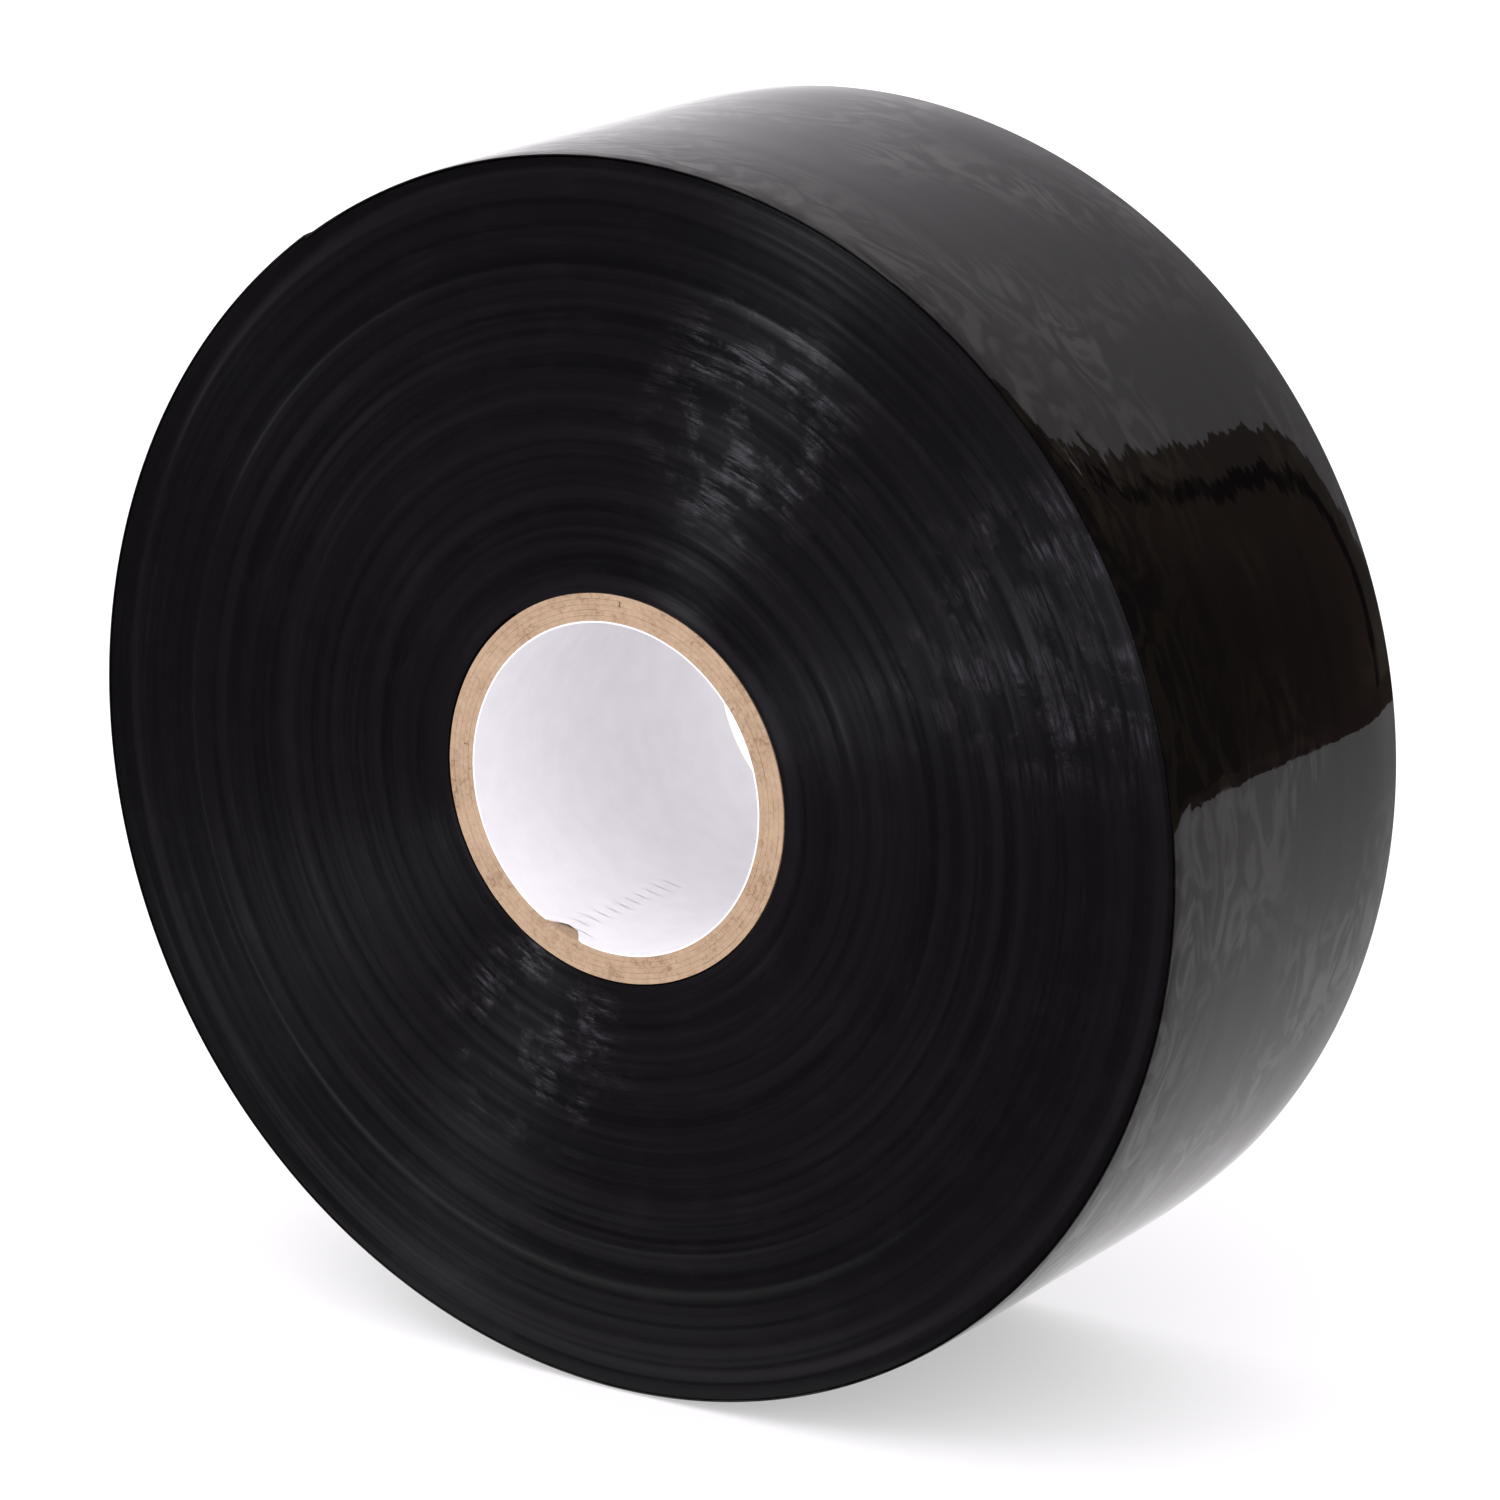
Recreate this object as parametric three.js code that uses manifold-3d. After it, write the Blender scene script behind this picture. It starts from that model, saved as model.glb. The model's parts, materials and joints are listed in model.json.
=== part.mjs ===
// A roll of electrical tape, standing on its rim: a wound strip of black PVC film on a paper core.
// Millimetres, +Z up. The roll's axis lies along Y and the origin is on that axis, at mid width.
import * as THREE from "three";
import { mergeVertices } from "three/addons/utils/BufferGeometryUtils.js";
import Module from "manifold-3d";

const wasm = await Module();
wasm.setup();

// Driving dimensions
const rollDiameter = 141; // over the newest turn
const tapeWidth = 50;
const boreDiameter = 37.4; // inside the liner of a nominal 38 mm (1 1/2 inch) core
const linerThickness = 0.2; // white paper that lines the bore
const kraftPlyThickness = 0.57;
const kraftPlyCount = 5;
const glueLine = 0.05; // between one ply and the next, and between the core and the tape
const filmThickness = 0.2;
const wrapGap = 0.05; // between one turn of film and the next
const seamWidth = 0.3; // open butt joint of a ply's spiral
const plySeamPitch = 90; // along the axis, for one turn of a ply's seam
const plySeamStep = 137; // degrees, from one ply's seam to the next ply's
const segmentGap = 0.3; // at each hinge of the loose end
const tipAngle = 125.625; // degrees, where the strip ends, from +X towards +Z
const segmentFacets = 3; // facets of the roll that each piece of the loose end covers
const segmentNames = ["tape_end_tip", "tape_end_mid", "tape_end_root"]; // from the cut end inwards

// Each round surface is a polygon whose flats touch the true circle, with a flat at the bottom.
const tapeFacets = 96;
const coreFacets = 48;
const seamSteps = 36;

const rollRadius = rollDiameter / 2;
const boreRadius = boreDiameter / 2;
const turnPitch = filmThickness + wrapGap;
const facetAngle = (2 * Math.PI) / tapeFacets;
const turn = 2 * Math.PI;
const tip = THREE.MathUtils.degToRad(tipAngle);
const gapAngle = segmentGap / rollRadius;
const looseAngle = segmentNames.length * segmentFacets * facetAngle;

const filmMaterial = { color: 0x1b191b, roughness: 0.22, metalness: 0 };
const kraftMaterial = { color: 0xcbae94, roughness: 0.9, metalness: 0 };
const linerMaterial = { color: 0xe8e7e6, roughness: 0.8, metalness: 0 };

const roll = new THREE.Group();

function addPiece(name, geometry, look) {
  const piece = new THREE.Mesh(geometry, new THREE.MeshStandardMaterial(look));
  piece.name = name;
  roll.add(piece);
}

// The radius of a polygon's corners, when its flats touch a circle of radius r.
function cornerRadius(r, facets) {
  return r / Math.cos(Math.PI / facets);
}

// A solid for cutting, from a geometry.
function toSolid(geometry) {
  const bare = geometry.clone();
  bare.deleteAttribute("normal");
  bare.deleteAttribute("uv");
  const merged = mergeVertices(bare, 1e-4);
  const mesh = new wasm.Mesh({
    numProp: 3,
    vertProperties: merged.attributes.position.array,
    triVerts: new Uint32Array(merged.index.array),
  });
  return new wasm.Manifold(mesh);
}

function toGeometry(solid) {
  const mesh = solid.getMesh();
  return new THREE.BufferGeometry()
    .setAttribute("position", new THREE.BufferAttribute(mesh.vertProperties, 3))
    .setIndex(new THREE.BufferAttribute(mesh.triVerts, 1));
}

// A paper tube about the Y axis, between two radii.
function tubeGeometry(innerRadius, outerRadius) {
  const inner = cornerRadius(innerRadius, coreFacets);
  const outer = cornerRadius(outerRadius, coreFacets);
  const profile = [
    new THREE.Vector2(inner, -tapeWidth / 2),
    new THREE.Vector2(outer, -tapeWidth / 2),
    new THREE.Vector2(outer, tapeWidth / 2),
    new THREE.Vector2(inner, tapeWidth / 2),
    new THREE.Vector2(inner, -tapeWidth / 2),
  ];
  return new THREE.LatheGeometry(profile, coreFacets, Math.PI / coreFacets, turn);
}

// A twisted blade along a ply's butt joint: it runs past both ends and both faces of the ply.
function seamBlade(innerRadius, outerRadius, startAngle) {
  const overrun = 1;
  const depth = outerRadius - innerRadius + 2 * overrun;
  const length = tapeWidth + 2 * overrun;
  const blade = new THREE.BoxGeometry(seamWidth, length, depth, 1, seamSteps, 1);
  blade.translate(0, 0, (innerRadius + outerRadius) / 2);
  const corners = blade.attributes.position;
  const point = new THREE.Vector3();
  const axis = new THREE.Vector3(0, 1, 0);
  for (let i = 0; i < corners.count; i++) {
    point.fromBufferAttribute(corners, i);
    point.applyAxisAngle(axis, startAngle + (turn * point.y) / plySeamPitch);
    corners.setXYZ(i, point.x, point.y, point.z);
  }
  return blade;
}

// One layer of the core: a strip of paper wound in a spiral, so its edges meet along a slanting seam.
function plyGeometry(innerRadius, outerRadius, startAngle) {
  const tube = toSolid(tubeGeometry(innerRadius, outerRadius));
  const blade = toSolid(seamBlade(innerRadius, outerRadius, startAngle));
  return toGeometry(tube.subtract(blade));
}

// A point of the wound strip. "wound" is the angle back along the strip from its cut end, and
// "depth" is measured inwards from the strip's outer face. The strip runs clockwise to its end,
// as seen from the front.
function stripPoint(wound, depth) {
  const flatRadius = rollRadius - (turnPitch * wound) / turn - depth;
  const r = cornerRadius(flatRadius, tapeFacets);
  return new THREE.Vector2(r * Math.cos(tip + wound), r * Math.sin(tip + wound));
}

// The angles along the strip from start to end, with one at each corner of the roll's facets.
function windAngles(start, end) {
  const angles = [start];
  for (let k = Math.floor(start / facetAngle) + 1; k * facetAngle < end - 1e-9; k++) {
    if (k * facetAngle > start + 1e-9) angles.push(k * facetAngle);
  }
  angles.push(end);
  return angles;
}

// An outline in the X-Z plane, drawn out to the tape's width along Y.
function acrossTape(shape) {
  const geometry = new THREE.ExtrudeGeometry(shape, { depth: tapeWidth, bevelEnabled: false });
  geometry.rotateX(Math.PI / 2);
  geometry.translate(0, tapeWidth / 2, 0);
  return geometry;
}

// A length of the strip on its own.
function filmGeometry(start, end) {
  const angles = windAngles(start, end);
  const outer = angles.map((a) => stripPoint(a, 0));
  const inner = angles.map((a) => stripPoint(a, filmThickness)).reverse();
  return acrossTape(new THREE.Shape([...outer, ...inner]));
}

// All the turns under the newest one, bonded into one block, with a step where the next turn starts.
function packGeometry(holeRadius) {
  const outline = windAngles(0, turn).map((a) => stripPoint(a, turnPitch));
  const shape = new THREE.Shape(outline);
  const hole = [];
  const corner = cornerRadius(holeRadius, coreFacets);
  for (let i = 0; i < coreFacets; i++) {
    const angle = ((i + 0.5) * turn) / coreFacets;
    hole.push(new THREE.Vector2(corner * Math.cos(angle), corner * Math.sin(angle)));
  }
  shape.holes.push(new THREE.Path(hole));
  return acrossTape(shape);
}

// The core, from the bore outwards
const linerRadius = boreRadius + linerThickness;
addPiece("core_liner", plyGeometry(boreRadius, linerRadius, 0), linerMaterial);
let plyInner = linerRadius + glueLine;
for (let ply = 1; ply <= kraftPlyCount; ply++) {
  const plyOuter = plyInner + kraftPlyThickness;
  const seamAngle = THREE.MathUtils.degToRad(plySeamStep * ply);
  addPiece("core_ply_" + ply, plyGeometry(plyInner, plyOuter, seamAngle), kraftMaterial);
  plyInner = plyOuter + glueLine;
}

// The tape: the block of turns, the newest turn on it, and the loose end of that turn
addPiece("tape_pack", packGeometry(plyInner), filmMaterial);
addPiece("tape_outer_turn", filmGeometry(looseAngle + gapAngle / 2, turn - gapAngle), filmMaterial);
segmentNames.forEach((name, i) => {
  const start = i * segmentFacets * facetAngle;
  const end = start + segmentFacets * facetAngle;
  const startGap = i === 0 ? 0 : gapAngle / 2;
  addPiece(name, filmGeometry(start + startGap, end - gapAngle / 2), filmMaterial);
});

export default roll;
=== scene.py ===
import bpy
import bmesh
import json
from math import atan2, cos, exp, pi, radians, sin, tau
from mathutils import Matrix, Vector, noise


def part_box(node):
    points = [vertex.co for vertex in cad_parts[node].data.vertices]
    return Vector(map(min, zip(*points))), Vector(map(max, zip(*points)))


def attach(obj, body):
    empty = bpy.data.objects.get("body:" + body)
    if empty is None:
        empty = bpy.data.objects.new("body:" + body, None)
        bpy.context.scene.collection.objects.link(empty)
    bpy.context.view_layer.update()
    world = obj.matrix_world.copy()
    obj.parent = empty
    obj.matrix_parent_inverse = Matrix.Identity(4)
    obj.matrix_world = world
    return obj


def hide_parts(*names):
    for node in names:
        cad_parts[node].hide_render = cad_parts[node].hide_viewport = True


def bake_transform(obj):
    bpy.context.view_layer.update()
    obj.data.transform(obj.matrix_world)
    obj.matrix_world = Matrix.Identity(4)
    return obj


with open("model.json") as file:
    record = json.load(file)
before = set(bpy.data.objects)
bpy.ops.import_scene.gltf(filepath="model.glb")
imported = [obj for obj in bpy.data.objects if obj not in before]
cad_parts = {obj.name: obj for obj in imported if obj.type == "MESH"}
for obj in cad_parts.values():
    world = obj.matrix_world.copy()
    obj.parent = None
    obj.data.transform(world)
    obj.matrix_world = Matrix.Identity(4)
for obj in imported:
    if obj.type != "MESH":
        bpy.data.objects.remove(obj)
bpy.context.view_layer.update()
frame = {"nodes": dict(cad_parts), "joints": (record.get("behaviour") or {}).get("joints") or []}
print("frame loaded:", len(frame["nodes"]), "nodes")

mm = 0.001
weldDistance = 1e-7
joints = {joint["name"]: joint for joint in frame["joints"]}


# The roll's axis is Y. Angles run from +X towards +Z, and "wound" is the angle back along
# the strip from its cut end.
def hingeAngle(name):
    x, y, z = joints[name]["pos_m"]
    return atan2(z, x)


segmentAngle = hingeAngle("peel_mid") - hingeAngle("peel_tip")
tipAngle = hingeAngle("peel_tip") - segmentAngle
rootWound = hingeAngle("peel_root") - tipAngle
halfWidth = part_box("tape_pack")[1].y
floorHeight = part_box("tape_outer_turn")[0].z
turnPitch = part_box("tape_pack")[0].z - floorHeight
rollRadius = turnPitch * (1.5 * pi - tipAngle) / tau - floorHeight
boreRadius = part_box("core_liner")[1].z
plyRadii = [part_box(f"core_ply_{ply}")[1].z for ply in range(1, 6)]


# small tools for shapes

def curveNoise(place, row):
    # one row of smooth noise, from -1 to 1; rows lie far enough apart not to look alike
    return noise.noise(Vector((place, row * 7.31, 0.37)))


def layeredNoise(place, layers, row, apart=1):
    # layers: how often each one goes up and down, and how strong it is
    return sum(strength * curveNoise(place * often, row + apart * number)
               for number, (often, strength) in enumerate(layers))


def smoothStep(value):
    value = min(max(value, 0.0), 1.0)
    return value * value * (3 - 2 * value)


def sweepLoop(corners, cuts, length, steps):
    # a closed outline in the Y-Z plane, each side cut into equal lengths, drawn along X; X stands
    # for the angle wound until rollUp bends it round
    outline = []
    for side, count in enumerate(cuts):
        start, end = Vector(corners[side - 1]), Vector(corners[side])
        outline += [start.lerp(end, cut / (count + 1)) for cut in range(count + 1)]
    bm = bmesh.new()
    bmesh.ops.create_grid(bm, x_segments=steps, y_segments=len(outline), size=0.5)
    for vert in bm.verts:
        y, z = outline[round((vert.co.y + 0.5) * len(outline)) % len(outline)]
        vert.co = ((vert.co.x + 0.5) * length, y, z)
    bmesh.ops.remove_doubles(bm, verts=bm.verts, dist=weldDistance)
    return bm


def keepWindMap(bm, radius):
    # length along the strip and place across it, both in metres, for patterns that follow the film
    layer = bm.loops.layers.uv.new("wind")
    for face in bm.faces:
        for loop in face.loops:
            loop[layer].uv = (loop.vert.co.x * radius, loop.vert.co.y)


def rollUp(bm, place):
    # place(wound, across, level) gives radius, y and angle; level is the outline's own Z
    for vert in bm.verts:
        radius, y, angle = place(*vert.co)
        vert.co = (radius * cos(angle), y, radius * sin(angle))


def finishPiece(name, bm, material, sharpAngle):
    mesh = bpy.data.meshes.new(name)
    bm.to_mesh(mesh)
    bm.free()
    mesh.polygons.foreach_set("use_smooth", [True] * len(mesh.polygons))
    mesh.set_sharp_from_angle(angle=radians(sharpAngle))
    mesh.materials.append(material)
    piece = bpy.data.objects.new(name, mesh)
    bpy.context.scene.collection.objects.link(piece)
    return piece


# small tools for materials

def toLinear(hexColour):
    shares = [int(hexColour[i:i + 2], 16) / 255 for i in (1, 3, 5)]
    return [c / 12.92 if c <= 0.04045 else ((c + 0.055) / 1.055) ** 2.4 for c in shares] + [1]


def addNode(tree, kind, settings=None, links=None):
    # settings: socket or property to value; links: socket to (node, output)
    node = tree.nodes.new(kind)
    for key, value in (settings or {}).items():
        if isinstance(key, str) and hasattr(node, key):
            setattr(node, key, value)
        else:
            node.inputs[key].default_value = value
    for key, (source, output) in (links or {}).items():
        tree.links.new(source.outputs[output], node.inputs[key])
    return node


def startMaterial(name):
    material = bpy.data.materials.new(name)
    material.use_nodes = True
    material.node_tree.nodes.clear()
    return material, material.node_tree


def closeMaterial(tree, settings, links):
    surface = addNode(tree, "ShaderNodeBsdfPrincipled", settings, links)
    addNode(tree, "ShaderNodeOutputMaterial", {}, {"Surface": (surface, "BSDF")})


def perSize(size):
    # the scale of a noise whose features are this many metres across
    return 1 / size


def grey(light):
    return [light, light, light, 1]


def addRamp(tree, source, output, stops):
    # stops: (place, linear colour), from the lowest place up
    ramp = addNode(tree, "ShaderNodeValToRGB", {}, {"Fac": (source, output)})
    points = ramp.color_ramp.elements
    points[0].position, points[0].color = stops[0]
    points[1].position, points[1].color = stops[-1]
    for place, colour in stops[1:-1]:
        points.new(place).color = colour
    return ramp


def flatPlace(tree, place):
    # the same place with its part along the axis taken away
    return addNode(tree, "ShaderNodeVectorMath", {"operation": "MULTIPLY", 1: (1, 0, 1)},
                   {0: (place, "Object")})


def ringPlace(tree, flat, length, width):
    # where a noise is read so that its features run round the axis: length in radians, width in metres
    radius = addNode(tree, "ShaderNodeVectorMath", {"operation": "LENGTH"}, {0: (flat, "Vector")})
    heading = addNode(tree, "ShaderNodeVectorMath", {"operation": "NORMALIZE"}, {0: (flat, "Vector")})
    offLattice = (0.37, 0, 0.53)  # the noise goes flat on its own lattice, so the circle is moved off it
    around = addNode(tree, "ShaderNodeVectorMath",
                     {"operation": "MULTIPLY_ADD", 1: (1 / length, 0, 1 / length), 2: offLattice},
                     {0: (heading, "Vector")})
    out = addNode(tree, "ShaderNodeMath", {"operation": "MULTIPLY", 1: perSize(width)},
                  {0: (radius, "Value")})
    split = addNode(tree, "ShaderNodeSeparateXYZ", {}, {"Vector": (around, "Vector")})
    return addNode(tree, "ShaderNodeCombineXYZ", {},
                   {"X": (split, "X"), "Y": (out, "Value"), "Z": (split, "Z")})


# the film

film = {
    "thickness": 0.2 * mm,
    "easeShare": 0.3,  # of the thickness, taken off each corner
    "frontShoulder": (12 * mm, 0.15 * mm),  # the newest turn falls off towards its edges: width, drop
    "backShoulder": (8 * mm, 0.26 * mm),
    "frontRoll": (3 * mm, 0.14 * mm),  # and its front edge rolls over
    "bandDepth": 0.022 * mm,  # ridges that run round the roll, from thick and thin lanes in the film
    "bandWidth": 5.5 * mm,
    "bandLayers": [(1, 1), (2.7, 0.4)],
    "waveDepth": 0.025 * mm,  # soft hollows where the winding was slacker
    "waveLength": 42 * mm,
    "waveWidth": 11 * mm,
    "waveMiddle": 0.6,  # of the depth: how deep the film lies on average
    "edgeSetBack": 0.2 * mm,  # the newest turn's edges lie a little inside the side faces
    "acrossCuts": 70,
    "stepAngle": 1.0,
    "sharpAngle": 35,
}


def filmRelief(wound, y):
    # how far the newest turn lies below a true cylinder
    width, drop = film["frontShoulder" if y < 0 else "backShoulder"]
    edge = max(0.0, abs(y) - halfWidth + width) / width
    rollWidth, rollDrop = film["frontRoll"]
    rolled = max(0.0, -y - halfWidth + rollWidth) / rollWidth
    bands = layeredNoise(y / film["bandWidth"], film["bandLayers"], 1)
    along = rollRadius / film["waveLength"]
    angle = tipAngle + wound
    waves = noise.noise(Vector((cos(angle) * along, sin(angle) * along, y / film["waveWidth"])))
    depth = film["bandDepth"] * (1 + bands) + film["waveDepth"] * (film["waveMiddle"] + waves)
    return drop * edge ** 2 + rollDrop * rolled ** 3 + depth


def filmPlace(wound, y, level):
    y *= 1 - film["edgeSetBack"] / halfWidth
    radius = rollRadius - turnPitch * wound / tau - filmRelief(wound, y) + level
    return radius, y, tipAngle + wound


def filmStrip(name, start, end, material):
    # a length of film between two wound angles, with its edges eased
    thick, wide = film["thickness"], halfWidth
    ease = thick * film["easeShare"]
    corners = [(-wide, -ease), (-wide + ease, 0), (wide - ease, 0), (wide, -ease),
               (wide, ease - thick), (wide - ease, -thick), (-wide + ease, -thick), (-wide, ease - thick)]
    cuts = [0, 0, film["acrossCuts"], 0, 0, 0, film["acrossCuts"], 0]
    steps = max(2, round((end - start) / radians(film["stepAngle"])))
    bm = sweepLoop(corners, cuts, end - start, steps)
    bmesh.ops.translate(bm, verts=bm.verts, vec=(start, 0, 0))
    bmesh.ops.holes_fill(bm, edges=bm.edges, sides=0)
    keepWindMap(bm, rollRadius)
    rollUp(bm, filmPlace)
    bmesh.ops.recalc_face_normals(bm, faces=bm.faces)
    return finishPiece(name, bm, material, film["sharpAngle"])


skin = {
    "laneSize": (3 * mm, 1 * mm),  # faint ridges, along and across the film: they fray a reflection's edge
    "laneDepth": 0.004 * mm,
    "featherSize": (12 * mm, 6 * mm),  # eddies where air went under the turn and lifted it
    "featherTurn": radians(-20),
    "featherEdge": (0.46, 0.6),
    "featherDepth": 0.05 * mm,
    "patchSize": 22 * mm,
    "patchEdge": (0.45, 0.62),
    "frontZone": (-25 * mm, -8 * mm),  # the air got in at the front edge, so most of it shows there
    "clear": "#080607",
    "marked": "#0d0b09",
    "roughness": (0.022, 0.05),  # clear, marked
    "bloom": 0.15,
}


# Calendered soft PVC: black right through and glossy, with a skin that is never quite flat.
def calenderedPvc():
    material, tree = startMaterial("calendered_pvc_film")
    wind = addNode(tree, "ShaderNodeUVMap", {"uv_map": "wind"})
    across = addNode(tree, "ShaderNodeSeparateXYZ", {}, {"Vector": (wind, "UV")})
    laneScale = [perSize(size) for size in skin["laneSize"]]
    lanes = addNode(tree, "ShaderNodeMapping", {"Scale": (*laneScale, 1)}, {"Vector": (wind, "UV")})
    laneNoise = addNode(tree, "ShaderNodeTexNoise", {"Scale": 1.0, "Detail": 0.0},
                        {"Vector": (lanes, "Vector")})
    featherScale = [perSize(size) for size in skin["featherSize"]]
    feathers = addNode(tree, "ShaderNodeMapping",
                       {"Scale": (*featherScale, 1), "Rotation": (0, 0, skin["featherTurn"])},
                       {"Vector": (wind, "UV")})
    featherNoise = addNode(tree, "ShaderNodeTexNoise",
                           {"Scale": 1.0, "Detail": 1.5, "Roughness": 0.5, "Distortion": 3.2},
                           {"Vector": (feathers, "Vector")})
    patches = addNode(tree, "ShaderNodeTexNoise", {"Scale": perSize(skin["patchSize"]), "Detail": 1.0},
                      {"Vector": (wind, "UV")})
    featherShare = addNode(tree, "ShaderNodeMapRange",
                           {"From Min": skin["featherEdge"][0], "From Max": skin["featherEdge"][1]},
                           {"Value": (featherNoise, "Fac")})
    patchShare = addNode(tree, "ShaderNodeMapRange",
                         {"From Min": skin["patchEdge"][0], "From Max": skin["patchEdge"][1]},
                         {"Value": (patches, "Fac")})
    frontShare = addNode(tree, "ShaderNodeMapRange",
                         {"interpolation_type": "SMOOTHSTEP", "From Min": skin["frontZone"][0],
                          "From Max": skin["frontZone"][1], "To Min": 1.0, "To Max": 0.0},
                         {"Value": (across, "Y")})
    spread = addNode(tree, "ShaderNodeMath", {"operation": "MAXIMUM"},
                     {0: (patchShare, "Result"), 1: (frontShare, "Result")})
    marks = addNode(tree, "ShaderNodeMath", {"operation": "MULTIPLY"},
                    {0: (featherShare, "Result"), 1: (spread, "Value")})
    colour = addNode(tree, "ShaderNodeMix", {"data_type": "RGBA"}, {"Factor": (marks, "Value")})
    colour.inputs["A"].default_value = toLinear(skin["clear"])
    colour.inputs["B"].default_value = toLinear(skin["marked"])
    laneBump = addNode(tree, "ShaderNodeBump", {"Strength": 1.0, "Distance": skin["laneDepth"]},
                       {"Height": (laneNoise, "Fac")})
    lifted = addNode(tree, "ShaderNodeMath", {"operation": "MULTIPLY"},
                     {0: (featherNoise, "Fac"), 1: (frontShare, "Result")})
    featherBump = addNode(tree, "ShaderNodeBump", {"Strength": 1.0, "Distance": skin["featherDepth"]},
                          {"Height": (lifted, "Value"), "Normal": (laneBump, "Normal")})
    haze = addNode(tree, "ShaderNodeMapRange",
                   {"To Min": skin["roughness"][0], "To Max": skin["roughness"][1]},
                   {"Value": (marks, "Value")})
    bloom = addNode(tree, "ShaderNodeMath", {"operation": "MULTIPLY", 1: skin["bloom"]},
                    {0: (marks, "Value")})
    closeMaterial(tree,
                  {"IOR": 1.53, "Specular IOR Level": 0.08, "Coat IOR": 1.5, "Coat Roughness": 0.06},
                  {"Base Color": (colour, "Result"), "Roughness": (haze, "Result"),
                   "Normal": (featherBump, "Normal"), "Coat Weight": (bloom, "Value"),
                   "Coat Normal": (featherBump, "Normal")})
    return material


pvc = calenderedPvc()
wrap = filmStrip("tape_wrap", rootWound, tau, pvc)
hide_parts("tape_outer_turn")
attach(wrap, "roll")

looseEnd = [("tape_end_root", "peel_root", "roll"),
            ("tape_end_mid", "peel_mid", "tape_end_root"),
            ("tape_end_tip", "peel_tip", "tape_end_mid")]
for body, joint, parent in looseEnd:
    hinge = hingeAngle(joint) - tipAngle
    piece = filmStrip("film_" + body, hinge - segmentAngle, hinge, pvc)
    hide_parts(body)
    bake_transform(piece)
print("film wound:", len(wrap.data.polygons), "faces in the newest turn")


# the wound block under the newest turn

# the outer turns were wound a little off centre: share of the radius, and which way
outerRing = {"offCentre": 0.019, "angle": radians(35)}
windings = {
    "turnsShown": 94,  # the real film is too fine to show turn by turn: each of these is two or three
    "settleTurns": 2,  # over which the spacing goes from one film to that of the turns shown
    "lipShare": 0.7,  # of a turn that lies flat, before it steps to the next
    "wander": 0.045 * mm,  # from one turn to the next
    "wanderLayers": [(1.7, 1), (4.3, 0.5)],
    "drift": 0.11 * mm,  # over many turns
    "driftRate": 0.23,
    "setBack": 0.22 * mm,
    "coreGap": 0.05 * mm,
    "stepAngle": 1.5,
    "rimCuts": 10,
    "rimShare": 0.1,  # of the radius, over which the turns take on the shape of the newest one
    # where the winding shifted: share of the radius, step outwards, width, share off centre
    "shifts": [(0.818, -0.26 * mm, 1.2 * mm, 0), (0.89, 0.24 * mm, 8 * mm, 0),
               (0.6, 0.07 * mm, 2.5 * mm, 0), (0.958, -0.12 * mm, 0.9 * mm, outerRing["offCentre"])],
    "sharpAngle": 50,
}
holeRadius = plyRadii[-1] + windings["coreGap"]
packRadius = rollRadius - turnPitch
lastTurn = windings["turnsShown"]


def turnRadius(turns):
    # from the first turn on the core to the last: both of those are one film thick
    settle = windings["settleTurns"]
    coarse = (packRadius - holeRadius - 2 * settle * turnPitch) / (lastTurn - 2 * settle)
    ends = 1 - exp(-turns / settle) + exp((turns - lastTurn) / settle) - exp(-lastTurn / settle)
    return holeRadius + coarse * turns - (coarse - turnPitch) * settle * ends


def sideWander(turns, side):
    # how far a turn's edge stands out from the roll's side
    near = layeredNoise(turns, windings["wanderLayers"], 3 + side, apart=2)
    far = curveNoise(turns * windings["driftRate"], 7 + side)
    return windings["wander"] * near + windings["drift"] * far


def windingShift(radius, angle):
    lean = cos(angle - outerRing["angle"])
    return sum(step * smoothStep((radius - (share + off * lean) * rollRadius) / width + 0.5)
               for share, step, width, off in windings["shifts"])


def blockPlace(wound, y, level):
    # level counts the outline's points: two for each turn shown
    turn, outerPoint = divmod(round(level), 2)
    lip = windings["lipShare"] * outerPoint
    radius = turnRadius(1 + turn + lip - wound / tau)
    rim = smoothStep(1 - (packRadius - radius) / (windings["rimShare"] * packRadius))
    if rim > 0:
        radius -= rim * filmRelief(wound, y)
    if abs(y) > halfWidth * 0.999:  # on one of the two sides
        side = 1 if y > 0 else 0
        stand = sideWander(1 + turn - wound / tau, side) + windingShift(radius, tipAngle + wound)
        y += min(stand - windings["setBack"], 0) * (1 if y > 0 else -1)
    return radius, y, tipAngle + wound


def woundBlock(material):
    top = 2 * (lastTurn - 1)
    corners = [(-halfWidth, 0), (-halfWidth, top), (halfWidth, top), (halfWidth, 0)]
    cuts = [0, top - 1, windings["rimCuts"], top - 1]
    bm = sweepLoop(corners, cuts, tau, round(tau / radians(windings["stepAngle"])))
    rollUp(bm, blockPlace)
    bmesh.ops.remove_doubles(bm, verts=bm.verts, dist=weldDistance)
    bmesh.ops.holes_fill(bm, edges=bm.edges, sides=0)
    bmesh.ops.recalc_face_normals(bm, faces=bm.faces)
    return finishPiece("wound_tape", bm, material, windings["sharpAngle"])


# scuffed spots on the side: where they lighten the base colour, that is a painted highlight, placed where
# the lamps' spokes fall
scuffsAndSheen = {
    # each spot: angle in degrees, share of the radius, mm to its edge, mm to where it ends, strength
    "scuffAndSheenSpots": [(68, 0.65, 7, 17, 0.85), (25, 0.88, 9, 21, 0.95), (24, 0.64, 4, 12, 0.5),
              (250, 0.46, 7, 15, 1.0)],
    "elsewhere": 0.1,
    # how light the rings are, by share of the radius; the bright band at 0.953 to 0.96 is a painted
    # reflection of the outer turns' step
    "lightness": [(0.31, 0.9), (0.345, 0.6), (0.7, 0.6), (0.8, 0.5), (0.832, 0.35), (0.943, 0.5),
                  (0.953, 1.0), (0.96, 1.0), (0.97, 0.25)],
}


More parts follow.
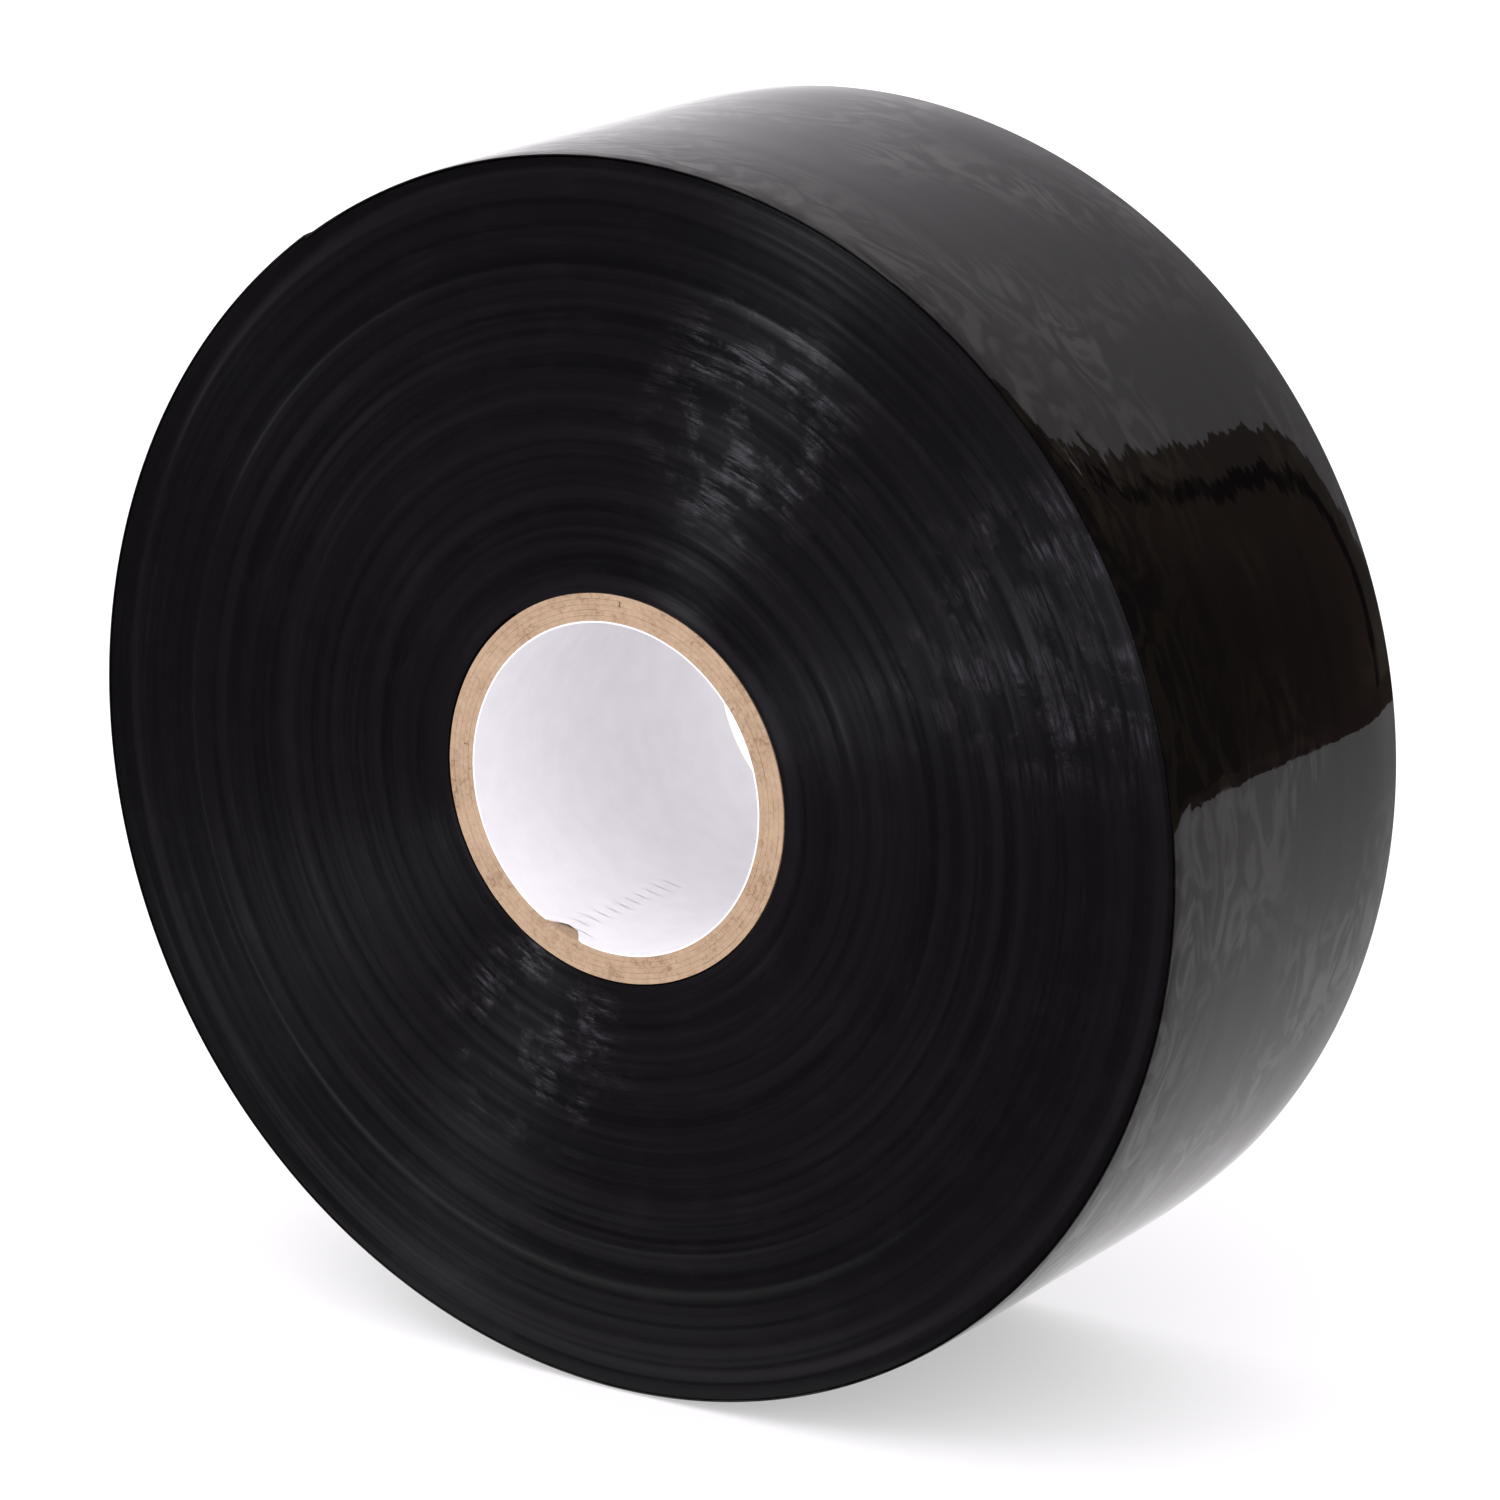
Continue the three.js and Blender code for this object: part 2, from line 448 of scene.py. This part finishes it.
def onSideFace(angle, share):
    # a point on the roll's side, at this share of its radius
    return cos(angle) * share * rollRadius, 0, sin(angle) * share * rollRadius


def scuffAndSheenShare(tree, flat):
    # how scuffed the side is here; the same share lightens the base colour as painted sheen where the
    # lamps' spokes fall
    share = addNode(tree, "ShaderNodeValue")
    share.outputs["Value"].default_value = scuffsAndSheen["elsewhere"]
    for degrees, out, near, far, most in scuffsAndSheen["scuffAndSheenSpots"]:
        away = addNode(tree, "ShaderNodeVectorMath",
                       {"operation": "DISTANCE", 1: onSideFace(radians(degrees), out)},
                       {0: (flat, "Vector")})
        spot = addNode(tree, "ShaderNodeMapRange",
                       {"interpolation_type": "SMOOTHSTEP", "From Min": near * mm, "From Max": far * mm,
                        "To Min": most, "To Max": scuffsAndSheen["elsewhere"]}, {"Value": (away, "Value")})
        share = addNode(tree, "ShaderNodeMath", {"operation": "MAXIMUM"},
                        {0: (share, "Value"), 1: (spot, "Result")})
    return share


def ringToneAndReflection(tree, flat):
    # light and dark rings, from how the roll was wound, with a painted reflection in the bright band near
    # the rim
    centre = onSideFace(outerRing["angle"], outerRing["offCentre"])
    radius = addNode(tree, "ShaderNodeVectorMath", {"operation": "DISTANCE", 1: centre},
                     {0: (flat, "Vector")})
    share = addNode(tree, "ShaderNodeMath", {"operation": "DIVIDE", 1: rollRadius}, {0: (radius, "Value")})
    return addRamp(tree, share, "Value", [(place, grey(light)) for place, light in scuffsAndSheen["lightness"]])


edgeFinishAndSheen = {
    # patterns that run round the axis: length in radians, and width
    "lanes": (2.1, 1.4 * mm),  # where the film was wound a little proud or shy
    "edges": (0.6, 0.5 * mm),  # the film edges, two or three together
    "edgeShare": 0.4,
    "streaks": (0.09, 0.6 * mm),  # scuffs along the edges, 4 mm long, gathered in patches, which also carry the painted sheen
    "patchSize": 6 * mm,
    "ringShare": 0.5,  # of the rings in the tone, beside the scuffs and their painted sheen
    # the lightest tone is the colour of the painted highlight in the scuffed spots
    "tones": [(0, "#060506"), (0.5, "#151317"), (1, "#2c2b31")],
    "ringDepth": 0.05 * mm,
    "scuffDepth": 0.08 * mm,
    "roughness": (0.22, 0.65),  # of the darkest and the lightest tone
}


# Slit PVC edges with adhesive between them: near black, since light is lost between the film edges.
# The grooves run round the roll, so a lamp shows in them as a soft spoke and never as a spot. Where the
# spokes fall, scuffed spots also lighten the base colour as a painted highlight.
def slitEdges():
    material, tree = startMaterial("slit_pvc_edges_and_sheen")
    place = addNode(tree, "ShaderNodeTexCoord")
    flat = flatPlace(tree, place)
    lanes = addNode(tree, "ShaderNodeTexNoise", {"Scale": 1.0, "Detail": 1.0},
                    {"Vector": (ringPlace(tree, flat, *edgeFinishAndSheen["lanes"]), "Vector")})
    edges = addNode(tree, "ShaderNodeTexNoise", {"Scale": 1.0, "Detail": 2.0},
                    {"Vector": (ringPlace(tree, flat, *edgeFinishAndSheen["edges"]), "Vector")})
    rings = addNode(tree, "ShaderNodeMath", {"operation": "MULTIPLY_ADD", 1: edgeFinishAndSheen["edgeShare"]},
                    {0: (edges, "Fac"), 2: (lanes, "Fac")})
    streaks = addNode(tree, "ShaderNodeTexNoise", {"Scale": 1.0, "Detail": 4.0, "Roughness": 0.6},
                      {"Vector": (ringPlace(tree, flat, *edgeFinishAndSheen["streaks"]), "Vector")})
    patches = addNode(tree, "ShaderNodeTexNoise",
                      {"Scale": perSize(edgeFinishAndSheen["patchSize"]), "Detail": 4.0, "Roughness": 0.6},
                      {"Vector": (place, "Object")})
    patchShare = addNode(tree, "ShaderNodeMapRange", {"From Min": 0.46, "From Max": 0.62},
                         {"Value": (patches, "Fac")})
    streakShare = addNode(tree, "ShaderNodeMapRange", {"From Min": 0.42, "From Max": 0.64},
                          {"Value": (streaks, "Fac")})
    gathered = addNode(tree, "ShaderNodeMath", {"operation": "MULTIPLY"},
                       {0: (patchShare, "Result"), 1: (streakShare, "Result")})
    marks = addNode(tree, "ShaderNodeMath", {"operation": "MULTIPLY"},
                    {0: (gathered, "Value"), 1: (scuffAndSheenShare(tree, flat), "Value")})
    ringShare = addNode(tree, "ShaderNodeMapRange",
                        {"From Min": 0.5, "From Max": 0.9, "To Min": 0.2, "To Max": 0.9},
                        {"Value": (rings, "Value")})
    light = addNode(tree, "ShaderNodeMath", {"operation": "MULTIPLY"},
                    {0: (ringShare, "Result"), 1: (ringToneAndReflection(tree, flat), "Color")})
    # the rings' tone plus the scuffed spots, whose lightening is painted sheen
    tone = addNode(tree, "ShaderNodeMath", {"operation": "MULTIPLY_ADD", 1: edgeFinishAndSheen["ringShare"]},
                   {0: (light, "Value"), 2: (marks, "Value")})
    colour = addRamp(tree, tone, "Value", [(place, toLinear(tint)) for place, tint in edgeFinishAndSheen["tones"]])
    ringBump = addNode(tree, "ShaderNodeBump", {"Strength": 1.0, "Distance": edgeFinishAndSheen["ringDepth"]},
                       {"Height": (rings, "Value")})
    bump = addNode(tree, "ShaderNodeBump", {"Strength": 1.0, "Distance": edgeFinishAndSheen["scuffDepth"]},
                   {"Height": (marks, "Value"), "Normal": (ringBump, "Normal")})
    smooth, worn = edgeFinishAndSheen["roughness"]
    rough = addNode(tree, "ShaderNodeMapRange", {"To Min": smooth, "To Max": worn},
                    {"Value": (tone, "Value")})
    grain = addNode(tree, "ShaderNodeTangent", {"direction_type": "RADIAL", "axis": "Y"})
    closeMaterial(tree, {"IOR": 1.53, "Specular IOR Level": 0.1, "Anisotropic": 0.93,
                         "Anisotropic Rotation": 0.25},
                  {"Base Color": (colour, "Color"), "Roughness": (rough, "Result"),
                   "Normal": (bump, "Normal"), "Tangent": (grain, "Tangent")})
    return material


block = woundBlock(slitEdges())
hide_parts("tape_pack")
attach(block, "roll")
print("block wound:", len(block.data.polygons), "faces")


# the paper core

paper = {
    "stepAngle": 2.0,
    "lengthCuts": 24,
    "fuzz": 0.05 * mm,  # cut paper edges are never quite level
    "fuzzLayers": [(9, 0.8), (31, 0.5)],
    "laneStep": 0.03 * mm,  # from one ply's end to the next
    "endShare": 0.04,  # of half the width, over which an end goes in to its set back
    "seamWidth": 0.25 * mm,
    "seamPitch": 90 * mm,  # along the axis, for one turn of a seam
    "wall": 0.61 * mm,  # a hair less than the step from one ply to the next
    "linerWall": 0.2 * mm,
    "plyTurn": 2.39,  # radians from one ply's seam to the next
    "ease": 0.02 * mm,
    "setBack": 0.12 * mm,  # the core's ends, inside the tape's sides
    "sharpAngle": 35,
}
tear = {
    "angle": radians(248),  # a chip out of the liner, at the front end of the bore
    "spread": radians(8),
    "depth": 1.9 * mm,
    "lift": 0.012 * mm,
    "liftLength": 1.5 * mm,
    "steepness": 1.25,  # over 1, so that the middle of the chip has its whole depth
    "raggedLayers": [(40, 0.35), (130, 0.2)],
}


def plyPlace(innerRadius, seamAngle, row, tearDepth):
    def place(wound, y, level):
        angle = seamAngle + wound + tau * y / paper["seamPitch"]
        end = smoothStep(1 - (1 - abs(y) / halfWidth) / paper["endShare"])
        fray = 1 + layeredNoise(angle, paper["fuzzLayers"], row)
        lane = curveNoise(row * 2.3, 11) * paper["laneStep"]
        y -= (1 if y > 0 else -1) * end * (paper["setBack"] + paper["fuzz"] * fray + lane)
        depth = tearDepth(angle)
        share = (halfWidth - y) / (2 * halfWidth)
        lift = tear["lift"] * depth / tear["depth"] * exp(-(y + halfWidth) / tear["liftLength"])
        return innerRadius + level - lift, y + depth * share, angle
    return place


def noTear(angle):
    return 0


def chippedEdge(angle):
    away = (angle - tear["angle"] + pi) % tau - pi
    ragged = 1 + layeredNoise(angle, tear["raggedLayers"], 21)
    bite = smoothStep(tear["steepness"] * (1 - abs(away) / tear["spread"]))
    return tear["depth"] * bite * ragged


def paperTube(name, innerRadius, wall, seamAngle, row, tearDepth, material):
    ease = paper["ease"]
    wide = halfWidth
    corners = [(-wide, ease), (-wide, wall - ease), (-wide + ease, wall), (wide - ease, wall),
               (wide, wall - ease), (wide, ease), (wide - ease, 0), (-wide + ease, 0)]
    cuts = [0, 1, 0, paper["lengthCuts"], 0, 1, 0, paper["lengthCuts"]]
    gap = paper["seamWidth"] / innerRadius
    bm = sweepLoop(corners, cuts, tau - gap, round(tau / radians(paper["stepAngle"])))
    bmesh.ops.holes_fill(bm, edges=bm.edges, sides=0)
    rollUp(bm, plyPlace(innerRadius, seamAngle, row, tearDepth))
    bmesh.ops.recalc_face_normals(bm, faces=bm.faces)
    return finishPiece(name, bm, material, paper["sharpAngle"])


# Kraft board, rolled and cut: warm tan, matt, with short fibres and soft clouds in it.
def kraftBoard():
    material, tree = startMaterial("rolled_kraft_board")
    place = addNode(tree, "ShaderNodeTexCoord")
    fibres = addNode(tree, "ShaderNodeTexNoise",
                     {"Scale": perSize(0.7 * mm), "Detail": 6.0, "Roughness": 0.65, "Distortion": 0.8},
                     {"Vector": (place, "Object")})
    clouds = addNode(tree, "ShaderNodeTexNoise", {"Scale": perSize(5 * mm), "Detail": 2.0},
                     {"Vector": (place, "Object")})
    both = addNode(tree, "ShaderNodeMix", {"Factor": 0.35}, {"A": (fibres, "Fac"), "B": (clouds, "Fac")})
    tans = [(0.34, "#7b5f47"), (0.46, "#977f66"), (0.62, "#a58d75")]
    colour = addRamp(tree, both, "Result", [(place, toLinear(tan)) for place, tan in tans])
    bump = addNode(tree, "ShaderNodeBump", {"Strength": 0.5, "Distance": 0.05 * mm},
                   {"Height": (fibres, "Fac")})
    closeMaterial(tree, {"Roughness": 0.9, "Specular IOR Level": 0.3},
                  {"Base Color": (colour, "Color"), "Normal": (bump, "Normal")})
    return material


# White lined paper: smooth, a little cloudy, no gloss to speak of.
def linerPaper():
    material, tree = startMaterial("white_liner_paper")
    place = addNode(tree, "ShaderNodeTexCoord")
    clouds = addNode(tree, "ShaderNodeTexNoise", {"Scale": perSize(3 * mm), "Detail": 5.0},
                     {"Vector": (place, "Object")})
    colour = addNode(tree, "ShaderNodeMix", {"data_type": "RGBA"}, {"Factor": (clouds, "Fac")})
    colour.inputs["A"].default_value = toLinear("#dad8dc")
    colour.inputs["B"].default_value = toLinear("#e8e7e9")
    bump = addNode(tree, "ShaderNodeBump", {"Strength": 0.3, "Distance": 0.02 * mm},
                   {"Height": (clouds, "Fac")})
    closeMaterial(tree, {"Roughness": 0.6, "Specular IOR Level": 0.4},
                  {"Base Color": (colour, "Result"), "Normal": (bump, "Normal")})
    return material


kraft = kraftBoard()
liner = paperTube("bore_liner", boreRadius - paper["linerWall"], paper["linerWall"], seamAngle=0.3,
                  row=31, tearDepth=chippedEdge, material=linerPaper())
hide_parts("core_liner")
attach(liner, "roll")
for ply, outerRadius in enumerate(plyRadii, 1):
    tube = paperTube(f"kraft_ply_{ply}", outerRadius - paper["wall"], paper["wall"],
                     seamAngle=paper["plyTurn"] * ply, row=40 + 3 * ply, tearDepth=noTear,
                     material=kraft)
    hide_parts(f"core_ply_{ply}")
    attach(tube, "roll")
print("core wound:", len(plyRadii), "plies and the liner")


# the studio

studio = {
    "floorSize": 8.0,
    "floorColour": "#c4c4c4",
    "floorGlow": 0.42,
    "aboveFloor": 0.5 * mm,
    # a dark side of the room, seen only in the gloss like everything dark here
    "wallX": 0.363,
    "wallStart": -1.2,
    "wallEnd": 0.725,
    "wallHeight": 1.2,
    # its look between two places along it: dim brown, dimmer towards the camera, and a black joint
    # before a lit strip at its end
    "wallZone": (-0.3, 0.7),
    "wallTones": [(0.76, (0.05, 0.04, 0.025, 1)), (0.845, (0.2, 0.145, 0.095, 1)),
                  (0.899, (0.2, 0.145, 0.095, 1)), (0.905, (0, 0, 0, 1)), (0.936, (0, 0, 0, 1)),
                  (0.94, (0.27, 0.22, 0.17, 1))],
    # a dark strip of floor that runs slantwise from the foot of the wall
    "footCorners": ((0, -0.3), (0.5, 0.35)),
    "footPlace": (0.304, 0.396, 0),
    "footTurn": 31,
    "footColour": (0.16, 0.11, 0.085, 1),
    # the camera's side of the room, and the table in front of the roll
    "frontY": -1.5,
    "frontReach": 3,
    "frontHeight": 2.5,
    "frontGlow": 0.06,
    "tableGap": 20 * mm,
    "tableGlow": 0.12,
    "skyColour": (1, 0.965, 1, 1),
    "skyGlow": (2.25, 1.22),  # behind the camera, and beyond the roll
    "boxColour": (0.93, 0.92, 1),
    "boxDistance": 1.5,
}


def plainMaterial(name, hexColour, glow):
    material, tree = startMaterial(name)
    closeMaterial(tree, {"Base Color": toLinear(hexColour), "Roughness": 0.9, "Emission Strength": glow,
                         "Emission Color": (1, 1, 1, 1)}, {})
    return material


def glowMaterial(name, colour, strength):
    material, tree = startMaterial(name)
    glow = addNode(tree, "ShaderNodeEmission", {"Color": colour, "Strength": strength})
    addNode(tree, "ShaderNodeOutputMaterial", {}, {"Surface": (glow, "Emission")})
    return material


def darkRoom():
    material, tree = startMaterial("dark_room")
    place = addNode(tree, "ShaderNodeTexCoord")
    split = addNode(tree, "ShaderNodeSeparateXYZ", {}, {"Vector": (place, "Object")})
    start, end = studio["wallZone"]
    share = addNode(tree, "ShaderNodeMapRange", {"From Min": start, "From Max": end},
                    {"Value": (split, "Y")})
    colour = addRamp(tree, share, "Result", studio["wallTones"])
    glow = addNode(tree, "ShaderNodeEmission", {}, {"Color": (colour, "Color")})
    addNode(tree, "ShaderNodeOutputMaterial", {}, {"Surface": (glow, "Emission")})
    return material


def stagePlane(name, lowCorner, highCorner, material):
    # a rectangle between two opposite corners, flat along the axis where they agree
    bm = bmesh.new()
    bmesh.ops.create_grid(bm, x_segments=1, y_segments=1, size=0.5)
    low, high = Vector(lowCorner), Vector(highCorner)
    size = high - low
    for vert in bm.verts:
        u, v = vert.co.x + 0.5, vert.co.y + 0.5
        along = u if size.x else 0
        vert.co = low + Vector((size.x * along, size.y * (u if not size.x else v), size.z * v))
    mesh = bpy.data.meshes.new(name)
    bm.to_mesh(mesh)
    bm.free()
    mesh.materials.append(material)
    plane = bpy.data.objects.new(name, mesh)
    bpy.context.scene.collection.objects.link(plane)
    return plane


def onlyInGloss(thing):
    thing.visible_camera = False
    thing.visible_diffuse = False
    thing.visible_shadow = False
    thing.visible_transmission = False
    thing.visible_volume_scatter = False


half = studio["floorSize"] / 2
reach, frontY = studio["frontReach"], studio["frontY"]
justAbove = floorHeight + studio["aboveFloor"]
stagePlane("floor", (-half, -half, floorHeight), (half, half, floorHeight),
           plainMaterial("white_floor", studio["floorColour"], studio["floorGlow"]))
darkSide = stagePlane("dark_side", (studio["wallX"], studio["wallStart"], floorHeight),
                      (studio["wallX"], studio["wallEnd"], studio["wallHeight"]), darkRoom())
darkFront = stagePlane("dark_front", (-reach, frontY, floorHeight),
                       (reach, frontY, studio["frontHeight"]),
                       glowMaterial("dark_camera_side", (1, 1, 1, 1), studio["frontGlow"]))
darkTable = stagePlane("dark_table", (-reach, frontY, justAbove),
                       (reach, -halfWidth - studio["tableGap"], justAbove),
                       glowMaterial("dim_table", (1, 1, 1, 1), studio["tableGlow"]))
footLow, footHigh = studio["footCorners"]
darkFoot = stagePlane("dark_foot", (*footLow, justAbove), (*footHigh, justAbove),
                      glowMaterial("dark_foot", studio["footColour"], 1.0))
darkFoot.location = studio["footPlace"]
darkFoot.rotation_euler.z = radians(studio["footTurn"])
for screen in (darkSide, darkFoot, darkFront, darkTable):
    onlyInGloss(screen)

world = bpy.data.worlds.new("studio")
bpy.context.scene.world = world
world.use_nodes = True
world.node_tree.nodes.clear()
direction = addNode(world.node_tree, "ShaderNodeTexCoord")
parts = addNode(world.node_tree, "ShaderNodeSeparateXYZ", {}, {"Vector": (direction, "Generated")})
# brighter behind the camera, so that more light goes in at the front of the bore than at its back
behind, beyond = studio["skyGlow"]
strength = addNode(world.node_tree, "ShaderNodeMapRange",
                   {"From Min": -0.5, "From Max": 0.0, "To Min": behind, "To Max": beyond},
                   {"Value": (parts, "Y")})
backdrop = addNode(world.node_tree, "ShaderNodeBackground", {"Color": studio["skyColour"]},
                   {"Strength": (strength, "Result")})
addNode(world.node_tree, "ShaderNodeOutputWorld", {}, {"Surface": (backdrop, "Background")})


def addSoftbox(name, direction, size, power):
    # seen only in the gloss: the white room itself gives the soft light
    light = bpy.data.lights.new(name, "AREA")
    light.size = size
    light.energy = power
    light.color = studio["boxColour"]
    box = bpy.data.objects.new(name, light)
    box.location = Vector(direction).normalized() * studio["boxDistance"]
    box.rotation_euler = Vector(direction).to_track_quat("Z", "Y").to_euler()
    box.visible_camera = False
    box.visible_diffuse = False
    bpy.context.scene.collection.objects.link(box)


addSoftbox("key_softbox", (-0.1, -0.635, 0.766), size=0.36, power=50)
addSoftbox("front_softbox", (0.12, -0.99, -0.05), size=0.7, power=24)

cameraSetup = {
    "azimuth": radians(32.94),
    "elevation": radians(16.11),
    "distance": 0.7048,
    "aim": (0.0013, 0.0005, -0.0014),
    "lens": 150.5,
    "sensor": 36,
}
lens = bpy.data.cameras.new("camera")
lens.lens = cameraSetup["lens"]
lens.sensor_width = cameraSetup["sensor"]
camera = bpy.data.objects.new("camera", lens)
turn, rise = cameraSetup["azimuth"], cameraSetup["elevation"]
back = Vector((sin(turn) * cos(rise), -cos(turn) * cos(rise), sin(rise)))
camera.location = Vector(cameraSetup["aim"]) + back * cameraSetup["distance"]
camera.rotation_euler = back.to_track_quat("Z", "Y").to_euler()
bpy.context.scene.collection.objects.link(camera)
bpy.context.scene.camera = camera
bpy.context.scene.view_settings.view_transform = "Standard"
print("studio lit")
